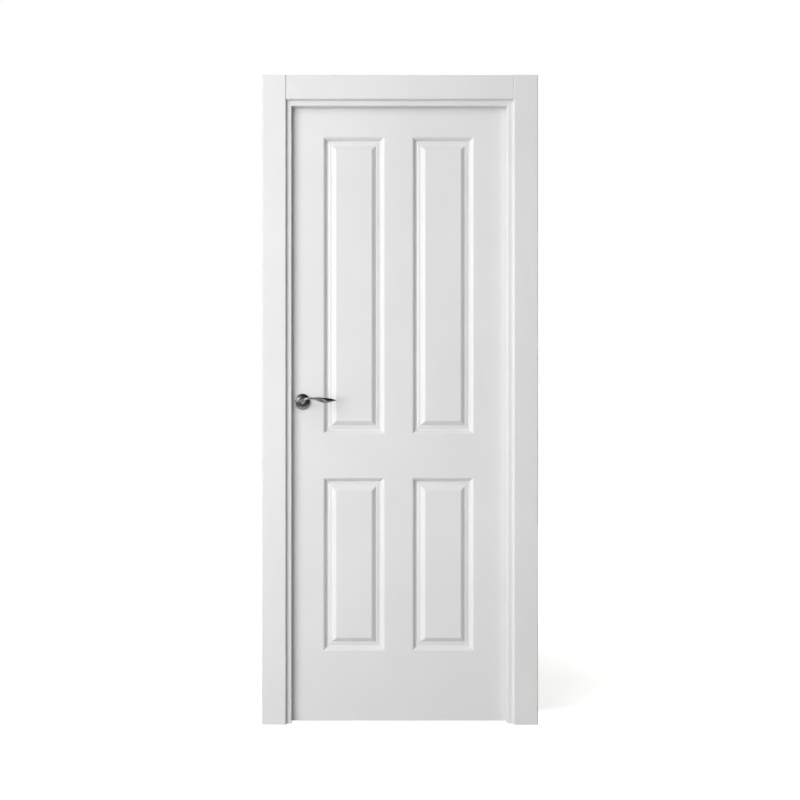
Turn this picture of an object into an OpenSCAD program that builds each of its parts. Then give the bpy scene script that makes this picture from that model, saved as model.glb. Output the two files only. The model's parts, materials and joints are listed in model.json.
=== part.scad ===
// White lacquered door with its frame: a leaf with four routed raised panels on each face, hung on
// three butt hinges in a rebated frame with architraves on both sides, a mortise latch and a pair
// of lever handles on round rosettes. The latch side is on the left and the leaf opens away from
// the viewer. Millimetres, +X right, +Y away from the viewer, +Z up, floor at Z 0.

/* [Leaf] */
// Width of the leaf
leaf_w = 725; // [625:5:925]
// Height of the leaf
leaf_h = 2030; // [1980:5:2110]
// Thickness of the leaf
leaf_t = 45; // [38:1:50]
// Gap between the leaf and the rebate at the sides and the top
edge_gap = 3; // [2:0.5:4]
// Gap between the leaf and the floor
floor_gap = 3; // [3:1:10]

/* [Panels] */
// Width of the outer stiles beside the panels
stile_w = 115; // [95:1:130]
// Width of the stile between the panels
mid_stile_w = 93; // [70:1:120]
// Height of the rail over the upper panels
top_rail_h = 104; // [90:1:140]
// Height of the rail between the upper and lower panels
lock_rail_h = 146; // [110:1:180]
// Height of the rail under the lower panels
bottom_rail_h = 230; // [180:1:260]
// Height of the lower panels
lower_panel_h = 570; // [450:5:650]
// Depth of the routing at its floor
rout_depth = 13.5; // [6:0.5:15]
// Width of the gentle shoulder of the moulding
shoulder_w = 6; // [4:0.5:8]
// Drop of the gentle shoulder of the moulding
shoulder_drop = 4.5; // [1.5:0.1:5]
// Width of the steep side of the moulding
side_w = 4; // [2:0.5:6]
// Width of the routing's flat floor
floor_w = 6.5; // [4:0.5:10]
// Width of the small slope up from the floor
quirk_w = 4.5; // [0.5:0.5:7]
// Height of the small slope up from the floor
quirk_h = 2; // [0.5:0.1:3]
// Width of the ledge between the small slope and the bevel
ledge_w = 6.5; // [3:0.5:10]
// Width of the steep foot of the raised bevel
foot_w = 7; // [4:0.5:12]
// Share of the raised bevel's rise that its steep foot takes
foot_share = 0.55; // [0.4:0.05:0.6]
// Width of the upper part of the raised bevel
bevel_w = 7.5; // [6:0.5:16]

/* [Frame] */
// Depth of the frame, from its front edge to its rear edge
frame_depth = 70; // [65:1:160]
// Thickness of the jambs and the head
jamb_t = 30; // [30:1:40]
// How far the door stop stands out of the rebate
stop_proj = 12; // [10:0.5:13]
// Space for the seal between the stop and the leaf
seal_gap = 3; // [2:0.5:5]
// Radius of the stop's front arris
arris_r = 3; // [1:0.5:5]

/* [Architraves] */
// Width of the architraves
arch_w = 80; // [60:1:100]
// Thickness of the architraves
arch_t = 12; // [10:1:18]
// How far the front architraves stand back from the stop
arch_setback = 18; // [14:1:19]
// Radius of the architraves' arrises
arch_r = 4.5; // [1:0.5:8]
// Thickness of the tongue that fits the frame's groove
tongue_t = 5; // [4:0.5:6]
// Length of the tongue
tongue_len = 12; // [8:1:16]

/* [Hinges] */
// Height of a hinge
hinge_h = 100; // [80:2:120]
// Width of a hinge plate
hinge_plate_w = 28; // [22:1:32]
// Thickness of a hinge plate
hinge_plate_t = 2.5; // [2:0.25:3]
// Radius of the hinge knuckle
knuckle_r = 6; // [5:0.25:6.5]
// Radius of the hinge pin
pin_r = 3; // [2:0.25:3.5]
// Height of the low hinge's centre over the leaf's bottom edge
hinge_low = 230; // [150:5:300]
// Distance of the top hinge's centre from the leaf's top edge
hinge_top = 200; // [150:5:300]

/* [Handle] */
// Height of the handle over the floor
handle_h = 1055; // [950:5:1100]
// Distance of the spindle from the leaf's edge
backset = 44; // [42:1:60]
// Radius of a rosette
rosette_r = 26.5; // [24:0.5:27]
// Height of a rosette
rosette_h = 9; // [7:0.5:12]
// Length of a lever from the spindle to its tip
lever_len = 111; // [95:1:130]
// How far a lever stands out of the leaf
lever_reach = 58; // [50:1:70]
// Radius of a lever's stem
stem_r = 8; // [7:0.25:9]
// Width of a lever's blade
blade_w = 17; // [14:0.5:20]
// Half thickness of a lever's blade where it leaves the bend
blade_half_t = 3.2; // [2:0.1:4]
// Height of the blade over the spindle where it leaves the bend
neck_rise = 10; // [5:0.5:14]
// Width of the square spindle
spindle_w = 8; // [7:0.5:9]

/* [Latch] */
// How far the latch bolt stands out of the leaf
latch_throw = 12; // [10:0.5:13]
// Turn of the handle that draws the latch bolt back
handle_turn = 40; // [35:1:45]
// Height of the latch bolt
latch_h = 25; // [20:1:28]
// Thickness of the latch bolt
latch_t = 12; // [10:0.5:12]
// Thickness of the lock case
case_t = 15; // [15:0.5:17]
// Wall of the lock case
case_wall = 1.5; // [1:0.25:1.5]
// Width of the faceplate
faceplate_w = 20; // [18:1:24]
// Thickness of the faceplate
faceplate_t = 3; // [2:0.5:4]
// Thickness of the strike plate
strike_t = 2; // [1.5:0.25:3]

/* [Fixings] */
// Radius of the holes for the wall fixings
fix_r = 2.75; // [2:0.25:3.5]
// Height of the lowest wall fixing
fix_first = 420; // [380:10:460]
// Distance between the two wall fixings of a pair
fix_spacing = 400; // [350:10:440]
// Height of the lowest fixing of the upper pair
fix_upper = 1240; // [1210:10:1260]

/* [Hidden] */

lacquer = "white";
metal = "silver";
steel = "lightsteelblue";
rubber = "gainsboro";

// Clearances: wood fits, screw holes, running fits, and gaps between pieces that move past
wood_fit = 0.1;
screw_fit = 0.1;
run_fit = 0.05;
clear = 0.3;
// How far a cutting shape reaches past the face that it cuts
past = 1;
// Length that is longer than the frame is deep, for cuts right through it
through = 2 * (frame_depth + arch_t + lever_reach);
arc_steps = 6;

// Planes across the depth: the whole part, from the front lever or architraves to the rear lever,
// is centred on Y 0
front_out = max(arch_t, lever_reach + leaf_t - frame_depth);
frame_y0 = (front_out - frame_depth - lever_reach) / 2;
frame_y1 = frame_y0 + frame_depth;
leaf_y0 = frame_y1 - leaf_t;
leaf_mid_y = frame_y1 - leaf_t / 2;
stop_y = leaf_y0 - seal_gap;

// Planes across the width and the height
leaf_x = leaf_w / 2;
rebate_x = leaf_x + edge_gap;
stop_x = rebate_x - stop_proj;
outer_x = stop_x + jamb_t;
leaf_z1 = floor_gap + leaf_h;
stop_z = leaf_z1 + edge_gap - stop_proj;
outer_z = stop_z + jamb_t;
rebate_t = jamb_t - stop_proj;

// Hinges: the axis stands behind the frame's rear face, in line with the gap at the leaf's edge
axis_x = leaf_x + edge_gap / 3;
knuckle_out = 1;
axis_y = frame_y1 + knuckle_r + knuckle_out;
knuckle_gap = 0.2;
knuckle_len = hinge_h / 3;
hinge_z0 = floor_gap + hinge_low;
hinge_z2 = leaf_z1 - hinge_top;
hinge_zs = [hinge_z0, (hinge_z0 + hinge_z2) / 2, hinge_z2];
hinge_screw_pitch = hinge_h * 0.35;
hinge_screw_y = frame_y1 - hinge_plate_w / 2;
cap_r = knuckle_r - 0.6;
cap_h = 3.5;
cap_chamfer = 1.2;

// The rear architraves keep clear of the hinge knuckles
knuckle_room = 2;
rear_setback = axis_x + knuckle_r + knuckle_room - stop_x;
tongue_in = 4;

// Seal strips
seal_at = (stop_proj - edge_gap) / 2 + 0.5;
seal_sink = 0.6;
seal_r = seal_gap + seal_sink - clear;
seal_stem_t = 2;
seal_stem_len = 5.5;

// Screws: [head radius, head height, shank radius]
wood_screw = [4, 2.2, 2];
long_screw = [4.5, 2.5, 2.25];
screw_tip = 3;
jamb_screw_len = rebate_t - 2.5;
leaf_screw_len = 25;
corner_screw_len = 50;
corner_screw_z = stop_z + jamb_t * 0.62;
corner_screw_ys = [frame_y0 + tongue_len + 8, stop_y + 20];
fix_head_r = 2 * fix_r;
fix_y = (stop_y + frame_y1) / 2;
fix_zs = [fix_first, fix_first + fix_spacing, fix_upper, fix_upper + fix_spacing];

// Latch and lock: the hub's arm leans back at rest and sweeps the same angle past upright
hub_x = backset - leaf_x;
arm_lean = handle_turn / 2;
arm_r = latch_throw / 2 / sin(arm_lean);
arm_tip_r = 3;
arm_w = 4;
arm_t = 6;
hub_r = 9;
journal_r = 7;
tail_h = 6;
tail_t = 5;
tail_z0 = handle_h + arm_r + arm_tip_r + 1;
latch_z = tail_z0 + tail_h / 2;
lug_x0 = hub_x - arm_r * sin(arm_lean) + arm_tip_r + clear;
lug_w = 5;
lug_z0 = handle_h + arm_r * cos(arm_lean) - 1.4;
latch_x0 = -leaf_x - latch_throw;
latch_x1 = hub_x - 24.5;
latch_nose = 2;
latch_fit = 0.5;
case_x0 = faceplate_t - leaf_x;
case_x1 = hub_x + 26;
case_y0 = leaf_mid_y - case_t / 2;
case_y1 = leaf_mid_y + case_t / 2;
case_z0 = handle_h - 30;
case_z1 = latch_z + latch_h / 2 + 11;
guide_x0 = hub_x - 7.5;
guide_t = 2;
faceplate_over = 25;
faceplate_z0 = case_z0 - faceplate_over;
faceplate_z1 = case_z1 + faceplate_over;
faceplate_screw_in = 11;
strike_w = 22;
strike_h = 80;
strike_lip_h = 34;
strike_screw_in = 9;
pocket_room = 2;
pocket_d = latch_throw - edge_gap + pocket_room;
spring_turns = 6;
spring_wire_r = 0.5;
spring_r = 4.6;
spring_steps = 12;
spring_sides = 6;

// Handle: distances out are counted from the leaf's face
base_t = 6;
cover_wall = 1.5;
cover_round = 3;
base_r = rosette_r - cover_wall - clear;
stem_start = 0.5;
rosette_screw_at = base_r - 7;
rosette_screw_len = base_t + (leaf_t - case_t) / 2 - 3;
spindle_hole_r = 10;
bend_r = 18;
blade_out = lever_reach - blade_w / 2;
stem_end = blade_out - bend_r + 2;
spindle_out = stem_end - 3;
grub_out = rosette_h + 6;
grub_r = 2.5;
grub_key_r = 1.4;
grub_key_d = 2;
lever_sides = 18;
bend_steps = 5;
blade_steps = 15;
// Where along the blade it ends its twist and starts to narrow, as parts of its length
twist_end = 0.72;
taper_start = 0.58;
// Height of the blade's middle line against the neck's, along the blade
rise_curve = [[0, 1], [0.07, 1.1], [0.14, 1.03], [0.36, 0.75], [0.6, 0.42], [0.8, 0.46], [1, 0.46]];

// Points of a round arris: centre, radius, first and last angle
function arc(c, r, a0, a1) =
    [for (i = [0 : arc_steps]) let (a = a0 + (a1 - a0) * i / arc_steps) c + r * [cos(a), sin(a)]];
function mix(a, b, t) = a + (b - a) * t;
function smooth(t) = let (s = max(0, min(1, t))) s * s * (3 - 2 * s);

// Turns a flat drawing so that its first axis lies along Y and its second along Z, and it is
// extruded along X
module along_x() {
    rotate([90, 0, 90]) children();
}

module mirror_x() {
    mirror([1, 0, 0]) children();
}

// Front pieces, set over to the rear side of the frame
module rear_of_frame() {
    translate([0, frame_y0 + frame_y1, 0]) mirror([0, 1, 0]) children();
}

// Front pieces, set over to the rear face of the leaf
module rear_of_leaf() {
    translate([0, 2 * leaf_mid_y, 0]) mirror([0, 1, 0]) children();
}

// A countersunk screw that enters along +Z, with its head's top at Z 0
module screw(kind, len) {
    rotate_extrude($fn = 32)
        polygon([[0, 0], [kind[0], 0], [kind[2], kind[1]], [kind[2], len - screw_tip], [0, len]]);
}

// The countersunk hole that takes the screw
module screw_hole(kind, len) {
    r0 = kind[0] + screw_fit;
    r1 = kind[2] + screw_fit;
    rotate_extrude($fn = 32)
        polygon([[0, -past], [r0, -past], [r0, 0], [r1, kind[1]], [r1, len + past], [0, len + past]]);
}

// Frame section: distance out from the stop's face, then Y
module frame_section() {
    groove_w = tongue_t + 2 * wood_fit;
    difference() {
        polygon(concat(
            arc([arris_r, frame_y0 + arris_r], arris_r, 180, 270),
            [[jamb_t, frame_y0], [jamb_t, frame_y1], [stop_proj, frame_y1], [stop_proj, stop_y],
             [0, stop_y]]));
        translate([arch_setback + tongue_in - wood_fit, frame_y0 - past])
            square([groove_w, tongue_len + 2 * past]);
        translate([rear_setback + tongue_in - wood_fit, frame_y1 - tongue_len - past])
            square([groove_w, tongue_len + 2 * past]);
        translate([seal_at - seal_stem_t / 2 - wood_fit, stop_y - seal_stem_len - wood_fit])
            square([seal_stem_t + 2 * wood_fit, seal_stem_len + past]);
    }
}

// A jamb on the right, with its mitred top
module jamb_bar() {
    translate([stop_x, 0, 0]) difference() {
        linear_extrude(outer_z) frame_section();
        translate([0, 0, stop_z]) rotate([90, 0, 0]) linear_extrude(through, center = true)
            polygon([[-past, -past], [jamb_t + past, jamb_t + past], [-past, jamb_t + past]]);
    }
}

module corner_screw_places() {
    for (y = corner_screw_ys)
        translate([outer_x, y, corner_screw_z]) rotate([0, -90, 0]) children();
}

module fixing_holes() {
    for (z = fix_zs) translate([rebate_x, fix_y, z]) rotate([0, 90, 0]) {
        cylinder(r = fix_r, h = rebate_t + past, $fn = 32);
        translate([0, 0, -past]) cylinder(r = fix_head_r, h = past, $fn = 32);
        cylinder(r1 = fix_head_r, r2 = fix_r, h = fix_r, $fn = 32);
    }
}

module hinge_jamb() {
    color(lacquer) difference() {
        jamb_bar();
        for (z = hinge_zs) {
            translate([rebate_x - past, frame_y1 - hinge_plate_w, z - hinge_h / 2])
                cube([hinge_plate_t + past, hinge_plate_w + past, hinge_h]);
            frame_hinge_screw_places(z) screw_hole(wood_screw, jamb_screw_len);
        }
        corner_screw_places() screw_hole(long_screw, corner_screw_len);
        fixing_holes();
    }
}

module latch_jamb() {
    color(lacquer) difference() {
        mirror_x() jamb_bar();
        translate([-rebate_x - strike_t, 0, 0]) along_x() linear_extrude(strike_t + past)
            strike_outline();
        translate([-rebate_x - strike_t - pocket_d, leaf_mid_y - latch_t / 2 - pocket_room,
                   latch_z - latch_h / 2 - pocket_room])
            cube([pocket_d + past, latch_t + 2 * pocket_room, latch_h + 2 * pocket_room]);
        strike_screw_places() screw_hole(wood_screw, jamb_screw_len);
        mirror_x() corner_screw_places() screw_hole(long_screw, corner_screw_len);
        mirror_x() fixing_holes();
    }
}

module head_jamb() {
    color(lacquer) difference() {
        translate([0, 0, stop_z]) rotate([0, -90, 0]) linear_extrude(2 * outer_x, center = true)
            frame_section();
        for (side = [0, 1]) mirror([side, 0, 0]) {
            translate([stop_x, 0, stop_z]) rotate([90, 0, 0]) linear_extrude(through, center = true)
                polygon([[-past, -past], [jamb_t + past, jamb_t + past], [jamb_t + past, -past]]);
            corner_screw_places() screw_hole(long_screw, corner_screw_len);
        }
    }
}

module corner_screws() {
    color(steel) for (side = [0, 1]) mirror([side, 0, 0])
        corner_screw_places() screw(long_screw, corner_screw_len);
}

// Architrave section: distance out from the stop's face, then Y
module arch_section(setback) {
    x1 = setback + arch_w;
    y0 = frame_y0 - arch_t;
    polygon(concat(
        arc([setback + arch_r, y0 + arch_r], arch_r, 180, 270),
        arc([x1 - arch_r, y0 + arch_r], arch_r, 270, 360),
        [[x1, frame_y0], [setback, frame_y0]]));
}

module tongue_section(setback) {
    translate([setback + tongue_in, frame_y0 - past]) square([tongue_t, tongue_len + past]);
}

// A side architrave runs past the head; its tongue ends under the head's tongue
module side_architrave(setback) {
    color(lacquer) translate([stop_x, 0, 0]) {
        linear_extrude(stop_z + setback + arch_w) arch_section(setback);
        linear_extrude(stop_z + setback + tongue_in) tongue_section(setback);
    }
}

module head_architrave(setback) {
    color(lacquer) translate([0, 0, stop_z]) rotate([0, -90, 0])
        linear_extrude(2 * (stop_x + setback), center = true) {
            arch_section(setback);
            tongue_section(setback);
        }
}

// Seal section: distance out from the stop's face, then Y
module seal_bulb() {
    a = asin(seal_sink / seal_r);
    polygon(arc([seal_at, stop_y - seal_sink], seal_r, a, 180 - a));
}

module seal_stem() {
    translate([seal_at - seal_stem_t / 2, stop_y - seal_stem_len])
        square([seal_stem_t, seal_stem_len + seal_sink]);
}

module side_seal() {
    color(rubber) translate([stop_x, 0, 0]) linear_extrude(stop_z + seal_at - seal_r) {
        seal_bulb();
        seal_stem();
    }
}

module seal_head() {
    color(rubber) translate([0, 0, stop_z]) rotate([0, -90, 0]) {
        linear_extrude(2 * (stop_x + seal_at + seal_r), center = true) seal_bulb();
        linear_extrude(2 * (stop_x + seal_at - seal_stem_t), center = true) seal_stem();
    }
}

// Strike plate: Y, then Z
module strike_outline() {
    translate([leaf_mid_y - strike_w / 2, latch_z - strike_h / 2]) square([strike_w, strike_h]);
    translate([leaf_mid_y, latch_z - strike_lip_h / 2])
        square([frame_y1 - leaf_mid_y, strike_lip_h]);
}

module strike_screw_places() {
    for (side = [-1, 1])
        translate([-rebate_x, leaf_mid_y, latch_z + side * (strike_h / 2 - strike_screw_in)])
            rotate([0, -90, 0]) children();
}

module strike_plate() {
    color(metal) difference() {
        translate([-rebate_x - strike_t, 0, 0]) along_x() linear_extrude(strike_t) difference() {
            strike_outline();
            translate([leaf_mid_y - latch_t / 2 - latch_fit, latch_z - latch_h / 2 - latch_fit])
                square([latch_t + 2 * latch_fit, latch_h + 2 * latch_fit]);
        }
        strike_screw_places() screw_hole(wood_screw, jamb_screw_len);
    }
}

module strike_screws() {
    color(steel) strike_screw_places() screw(wood_screw, jamb_screw_len);
}

// Hinges
module frame_hinge_screw_places(z) {
    for (i = [-1 : 1]) translate([rebate_x, hinge_screw_y, z + i * hinge_screw_pitch])
        rotate([0, 90, 0]) children();
}

module leaf_hinge_screw_places(z) {
    for (i = [-1 : 1]) translate([leaf_x, hinge_screw_y, z + i * hinge_screw_pitch])
        rotate([0, -90, 0]) children();
}

// A plate at x0 with knuckles at the given heights, each joined to it by a strap
module hinge_plate(x0, z, knuckle_zs) {
    difference() {
        union() {
            translate([x0, frame_y1 - hinge_plate_w, z - hinge_h / 2])
                cube([hinge_plate_t, hinge_plate_w, hinge_h]);
            for (k = knuckle_zs) {
                translate([x0, frame_y1 - past, z + k])
                    cube([hinge_plate_t, axis_y - frame_y1 + past, knuckle_len - knuckle_gap]);
                translate([axis_x, axis_y, z + k])
                    cylinder(r = knuckle_r, h = knuckle_len - knuckle_gap, $fn = 48);
            }
        }
        translate([axis_x, axis_y, z - hinge_h])
            cylinder(r = pin_r + run_fit, h = 2 * hinge_h, $fn = 48);
    }
}

module frame_hinge(z) {
    color(metal) difference() {
        hinge_plate(rebate_x, z, [-hinge_h / 2, hinge_h / 2 - knuckle_len + knuckle_gap]);
        frame_hinge_screw_places(z) screw_hole(wood_screw, jamb_screw_len);
    }
}

module leaf_hinge(z) {
    color(metal) difference() {
        hinge_plate(leaf_x - hinge_plate_t, z, [(knuckle_gap - knuckle_len) / 2]);
        leaf_hinge_screw_places(z) screw_hole(wood_screw, leaf_screw_len);
    }
}

module hinge_pin(z) {
    h = hinge_h / 2;
    c = cap_r - cap_chamfer;
    color(metal) translate([axis_x, axis_y, z]) rotate_extrude($fn = 48) polygon([
        [0, -h - cap_h], [c, -h - cap_h], [cap_r, -h - cap_h + cap_chamfer], [cap_r, -h],
        [pin_r, -h], [pin_r, h],
        [cap_r, h], [cap_r, h + cap_h - cap_chamfer], [c, h + cap_h], [0, h + cap_h]]);
}

module frame_hinge_screws() {
    color(steel) for (z = hinge_zs) frame_hinge_screw_places(z) screw(wood_screw, jamb_screw_len);
}

module leaf_hinge_screws() {
    color(steel) for (z = hinge_zs) leaf_hinge_screw_places(z) screw(wood_screw, leaf_screw_len);
}

// Routed panels: a section across a panel is drawn as distance from its middle and depth below
// the leaf's face, and crossing it with the section up the panel mitres the corners
panel_w = (leaf_w - 2 * stile_w - mid_stile_w) / 2;
upper_panel_h = leaf_h - top_rail_h - lock_rail_h - bottom_rail_h - lower_panel_h;
quirk_at = shoulder_w + side_w + floor_w;
ledge_at = quirk_at + quirk_w;
foot_at = ledge_at + ledge_w;
bevel_at = foot_at + foot_w;
field_at = bevel_at + bevel_w;
ledge_depth = rout_depth - quirk_h;

function both_sides(pts, w) =
    let (n = len(pts))
    concat([for (p = pts) [p[0] - w / 2, p[1]]],
           [for (i = [n - 1 : -1 : 0]) [w / 2 - pts[i][0], pts[i][1]]]);

trench_side = [[0, -past], [0, 0], [shoulder_w, shoulder_drop], [shoulder_w + side_w, rout_depth]];
field_side = [[quirk_at, rout_depth + past], [quirk_at, rout_depth],
              [ledge_at, ledge_depth], [foot_at, ledge_depth],
              [bevel_at, ledge_depth * (1 - foot_share)], [field_at, 0], [field_at, -2 * past]];

module mitred(side, w, h) {
    intersection() {
        linear_extrude(h + 2 * past, center = true) polygon(both_sides(side, w));
        rotate([0, -90, 0]) linear_extrude(w + 2 * past, center = true) polygon(both_sides(side, h));
    }
}

module panel_routing(w, h) {
    difference() {
        mitred(trench_side, w, h);
        mitred(field_side, w, h);
    }
}

module face_routings() {
    x = (panel_w + mid_stile_w) / 2;
    z0 = floor_gap + bottom_rail_h;
    z1 = z0 + lower_panel_h + lock_rail_h;
    for (side = [-1, 1]) {
        translate([side * x, leaf_y0, z0 + lower_panel_h / 2]) panel_routing(panel_w, lower_panel_h);
        translate([side * x, leaf_y0, z1 + upper_panel_h / 2]) panel_routing(panel_w, upper_panel_h);
    }
}

module door_leaf() {
    color(lacquer) difference() {
        translate([-leaf_x, leaf_y0, floor_gap]) cube([leaf_w, leaf_t, leaf_h]);
        face_routings();
        rear_of_leaf() face_routings();
        for (z = hinge_zs) {
            translate([leaf_x - hinge_plate_t, frame_y1 - hinge_plate_w, z - hinge_h / 2])
                cube([hinge_plate_t + past, hinge_plate_w + past, hinge_h]);
            leaf_hinge_screw_places(z) screw_hole(wood_screw, leaf_screw_len);
        }
        translate([-leaf_x - past, 0, 0]) along_x() linear_extrude(faceplate_t + past)
            faceplate_outline(wood_fit);
        translate([case_x0 - past, case_y0 - wood_fit, case_z0 - wood_fit])
            cube([case_x1 - case_x0 + past + wood_fit, case_t + 2 * wood_fit,
                  case_z1 - case_z0 + 2 * wood_fit]);
        faceplate_screw_places() screw_hole(wood_screw, leaf_screw_len);
        translate([hub_x, leaf_mid_y, handle_h]) rotate([90, 0, 0])
            cylinder(r = spindle_hole_r, h = leaf_t + 2 * past, center = true, $fn = 48);
        rosette_screw_places() screw_hole(wood_screw, rosette_screw_len);
        rear_of_leaf() rosette_screw_places() screw_hole(wood_screw, rosette_screw_len);
    }
}

// Faceplate with round ends: Y, then Z
module faceplate_outline(fit) {
    r = faceplate_w / 2;
    translate([leaf_mid_y - r - fit, faceplate_z0 + r])
        square([faceplate_w + 2 * fit, faceplate_z1 - faceplate_z0 - faceplate_w]);
    for (z = [faceplate_z0 + r, faceplate_z1 - r]) translate([leaf_mid_y, z]) circle(r + fit, $fn = 48);
}

module faceplate_screw_places() {
    for (z = [faceplate_z0 + faceplate_screw_in, faceplate_z1 - faceplate_screw_in])
        translate([-leaf_x, leaf_mid_y, z]) rotate([0, 90, 0]) children();
}

module latch_window(x0, depth) {
    translate([x0, leaf_mid_y - latch_t / 2 - clear, latch_z - latch_h / 2 - clear])
        cube([depth, latch_t + 2 * clear, latch_h + 2 * clear]);
}

module faceplate() {
    color(metal) difference() {
        translate([-leaf_x, 0, 0]) along_x() linear_extrude(faceplate_t) faceplate_outline(0);
        latch_window(-leaf_x - past, faceplate_t + 2 * past);
        faceplate_screw_places() screw_hole(wood_screw, leaf_screw_len);
    }
}

module faceplate_screws() {
    color(steel) faceplate_screw_places() screw(wood_screw, leaf_screw_len);
}

module hub_bore(y0, depth) {
    translate([hub_x, y0, handle_h]) rotate([-90, 0, 0])
        cylinder(r = journal_r + run_fit, h = depth, $fn = 48);
}

// Open tray with the guide for the latch's tail
module lock_case() {
    w = case_x1 - case_x0;
    h = case_z1 - case_z0;
    tray_t = case_t - case_wall;
    color(steel) difference() {
        union() {
            difference() {
                translate([case_x0, case_y0, case_z0]) cube([w, tray_t, h]);
                translate([case_x0 + case_wall, case_y0 + case_wall, case_z0 + case_wall])
                    cube([w - 2 * case_wall, tray_t, h - 2 * case_wall]);
            }
            translate([guide_x0, case_y0, tail_z0 - clear])
                cube([guide_t, tray_t, case_z1 - tail_z0 + clear]);
        }
        translate([guide_x0 - past, leaf_mid_y - tail_t / 2 - clear, tail_z0 - past])
            cube([guide_t + 2 * past, tail_t + 2 * clear, tail_h + clear + past]);
        latch_window(case_x0 - past, case_wall + 2 * past);
        hub_bore(case_y0 - past, case_wall + 2 * past);
    }
}

module lock_cover() {
    color(steel) difference() {
        translate([case_x0, case_y1 - case_wall, case_z0])
            cube([case_x1 - case_x0, case_wall, case_z1 - case_z0]);
        hub_bore(case_y1 - case_wall - past, case_wall + 2 * past);
    }
}

// Bolt with a bevelled nose, a tail and the lug that the hub's arm draws back
module latch_bolt() {
    y0 = leaf_mid_y - latch_t / 2;
    y1 = leaf_mid_y + latch_t / 2;
    color(metal) {
        translate([0, 0, latch_z - latch_h / 2]) linear_extrude(latch_h) polygon([
            [latch_x1, y0], [latch_x1, y1], [latch_x0, y1], [latch_x0, y1 - latch_nose],
            [-leaf_x - clear, y0]]);
        translate([latch_x1 - past, leaf_mid_y - tail_t / 2, tail_z0])
            cube([lug_x0 + lug_w - latch_x1 + past, tail_t, tail_h]);
        translate([lug_x0, leaf_mid_y - tail_t / 2, lug_z0])
            cube([lug_w, tail_t, tail_z0 - lug_z0 + past]);
    }
}

function spring_ring(i, n, x0, len) =
    let (a = 360 * spring_turns * i / n, x = x0 + len * i / n)
    [for (k = [0 : spring_sides - 1])
        let (b = 360 * k / spring_sides, r = spring_r + spring_wire_r * cos(b))
        [x + spring_wire_r * sin(b), leaf_mid_y + r * cos(a), latch_z + r * sin(a)]];

// Faces of a tube of n + 1 rings with m points each
function tube_faces(n, m) = concat(
    [[for (k = [0 : m - 1]) k]],
    [for (i = [0 : n - 1]) for (k = [0 : m - 1])
        let (a = i * m + k, b = i * m + (k + 1) % m) each [[a, a + m, b], [b, a + m, b + m]]],
    [[for (k = [m - 1 : -1 : 0]) n * m + k]]);

// Coil between the bolt's shoulder and the guide
module latch_spring() {
    n = spring_turns * spring_steps;
    x0 = latch_x1 + spring_wire_r + clear;
    len = guide_x0 - spring_wire_r - clear - x0;
    color(steel) polyhedron(
        points = [for (i = [0 : n]) each spring_ring(i, n, x0, len)],
        faces = tube_faces(n, spring_sides));
}

module latch_hub() {
    body_t = case_t - 2 * case_wall - 2 * clear;
    hole_w = spindle_w + 2 * screw_fit;
    color(steel) translate([hub_x, leaf_mid_y, handle_h]) rotate([0, -arm_lean, 0]) difference() {
        union() {
            rotate([90, 0, 0]) cylinder(r = hub_r, h = body_t, center = true, $fn = 48);
            rotate([90, 0, 0]) cylinder(r = journal_r, h = case_t, center = true, $fn = 48);
            translate([-arm_w / 2, -arm_t / 2, 0]) cube([arm_w, arm_t, arm_r]);
            translate([0, 0, arm_r]) rotate([90, 0, 0])
                cylinder(r = arm_tip_r, h = arm_t, center = true, $fn = 32);
        }
        rotate([0, arm_lean, 0]) cube([hole_w, case_t + 2 * past, hole_w], center = true);
    }
}

// Handle pieces on the front face: X along the lever, Y counted out of the leaf's face
module on_front() {
    translate([hub_x, leaf_y0, handle_h]) mirror([0, 1, 0]) children();
}

module outward() {
    rotate([-90, 0, 0]) children();
}

module rosette_screw_places() {
    for (side = [-1, 1])
        on_front() translate([0, base_t, side * rosette_screw_at]) rotate([90, 0, 0]) children();
}

module rosette_base() {
    color(steel) difference() {
        on_front() outward() difference() {
            cylinder(r = base_r, h = base_t, $fn = 64);
            translate([0, 0, -past]) cylinder(r = stem_r + run_fit, h = base_t + 2 * past, $fn = 48);
        }
        rosette_screw_places() screw_hole(wood_screw, rosette_screw_len);
    }
}

module rosette_cover() {
    inner_h = rosette_h - cover_wall;
    color(metal) on_front() outward() rotate_extrude($fn = 64) difference() {
        polygon(concat([[0, 0], [rosette_r, 0]],
            arc([rosette_r - cover_round, rosette_h - cover_round], cover_round, 0, 90),
            [[0, rosette_h]]));
        translate([0, -past]) square([rosette_r - cover_wall, inner_h + past]);
        translate([0, -past]) square([stem_r + clear, rosette_h + 2 * past]);
    }
}

module rosette_screws() {
    color(steel) {
        rosette_screw_places() screw(wood_screw, rosette_screw_len);
        rear_of_leaf() rosette_screw_places() screw(wood_screw, rosette_screw_len);
    }
}

// One ring of the lever: its middle, half width, half thickness, bend angle and twist angle
function lever_ring(p, w, t, bend, twist) =
    [for (k = [0 : lever_sides - 1])
        let (a = 360 * k / lever_sides,
             u = w * cos(a) * cos(twist) - t * sin(a) * sin(twist),
             v = w * cos(a) * sin(twist) + t * sin(a) * cos(twist))
        p + [-u * cos(bend), u * sin(bend), v]];

// The bend, from the round stem to the flat blade
function bend_ring(s) =
    let (bend = 90 * s, r0 = stem_r - run_fit)
    lever_ring([bend_r * (1 - cos(bend)), blade_out - bend_r * (1 - sin(bend)),
                neck_rise * smooth(s)],
               mix(r0, blade_w / 2, s), mix(r0, blade_half_t, smooth(s)), bend, 0);

// The blade, which twists from lying flat to standing upright and narrows to its tip
function blade_ring(s) =
    let (narrow = max(0, (s - taper_start) / (1 - taper_start)),
         size = max(0.06, 1 - pow(narrow, 1.6)))
    lever_ring([mix(bend_r, lever_len, s), blade_out, neck_rise * lookup(s, rise_curve)],
               blade_w / 2 * size, blade_half_t * size * mix(1, 0.85, s), 90,
               90 * smooth(s / twist_end));

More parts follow.
